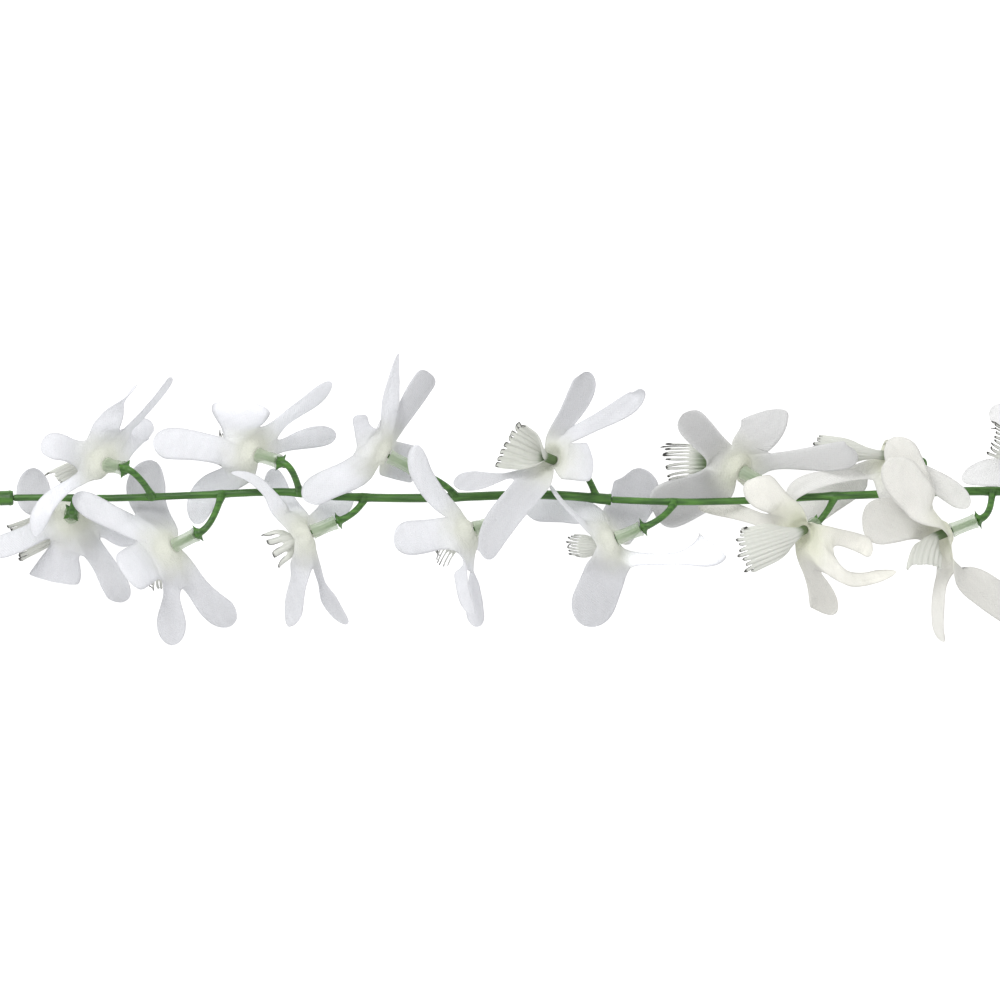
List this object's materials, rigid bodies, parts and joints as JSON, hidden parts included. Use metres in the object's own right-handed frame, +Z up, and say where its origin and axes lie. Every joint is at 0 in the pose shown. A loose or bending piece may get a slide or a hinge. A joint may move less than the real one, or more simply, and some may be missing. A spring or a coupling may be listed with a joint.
{
  "type": "artificial jasmine garland",
  "caption": "Length of artificial flower garland: a green moulded stem with white five-lobed fabric flowers on short curved stalks, lying on a surface.",
  "frame": {"origin": "centre of the garland's box, on the surface that the garland lies on", "axes": "+X along the stem, +Y across it in the plane of the surface, +Z up, the way the flowers face"},
  "size_m": [0.3634, 0.0936, 0.045],
  "materials": {
    "stem_plastic": "moulded dark green plastic, semi-gloss",
    "calyx_plastic": "translucent pale green plastic, ribbed",
    "petal_fabric": "stiffened white woven fabric, matte, pale green near the heart",
    "lip_plastic": "translucent milky plastic with grey tips"
  },
  "bodies": {
    "root": {"calyx_tube_01": "calyx_plastic", "calyx_tube_02": "calyx_plastic", "calyx_tube_03": "calyx_plastic", "calyx_tube_04": "calyx_plastic", "calyx_tube_05": "calyx_plastic", "calyx_tube_06": "calyx_plastic", "calyx_tube_07": "calyx_plastic", "calyx_tube_08": "calyx_plastic", "calyx_tube_09": "calyx_plastic", "calyx_tube_10": "calyx_plastic", "calyx_tube_11": "calyx_plastic", "calyx_tube_12": "calyx_plastic", "calyx_tube_13": "calyx_plastic", "calyx_tube_14": "calyx_plastic", "corolla_01": "petal_fabric", "corolla_02": "petal_fabric", "corolla_03": "petal_fabric", "corolla_04": "petal_fabric", "corolla_05": "petal_fabric", "corolla_06": "petal_fabric", "corolla_07": "petal_fabric", "corolla_08": "petal_fabric", "corolla_09": "petal_fabric", "corolla_10": "petal_fabric", "corolla_11": "petal_fabric", "corolla_12": "petal_fabric", "corolla_13": "petal_fabric", "corolla_14": "petal_fabric", "lip_01": "lip_plastic", "lip_02": "lip_plastic", "lip_03": "lip_plastic", "lip_04": "lip_plastic", "lip_05": "lip_plastic", "lip_06": "lip_plastic", "lip_07": "lip_plastic", "lip_08": "lip_plastic", "lip_09": "lip_plastic", "lip_10": "lip_plastic", "lip_11": "lip_plastic", "lip_12": "lip_plastic", "lip_13": "lip_plastic", "lip_14": "lip_plastic", "stem_end_left": "stem_plastic", "stem_spray_1": "stem_plastic", "stem_spray_2": "stem_plastic"}
  },
  "joints": []
}
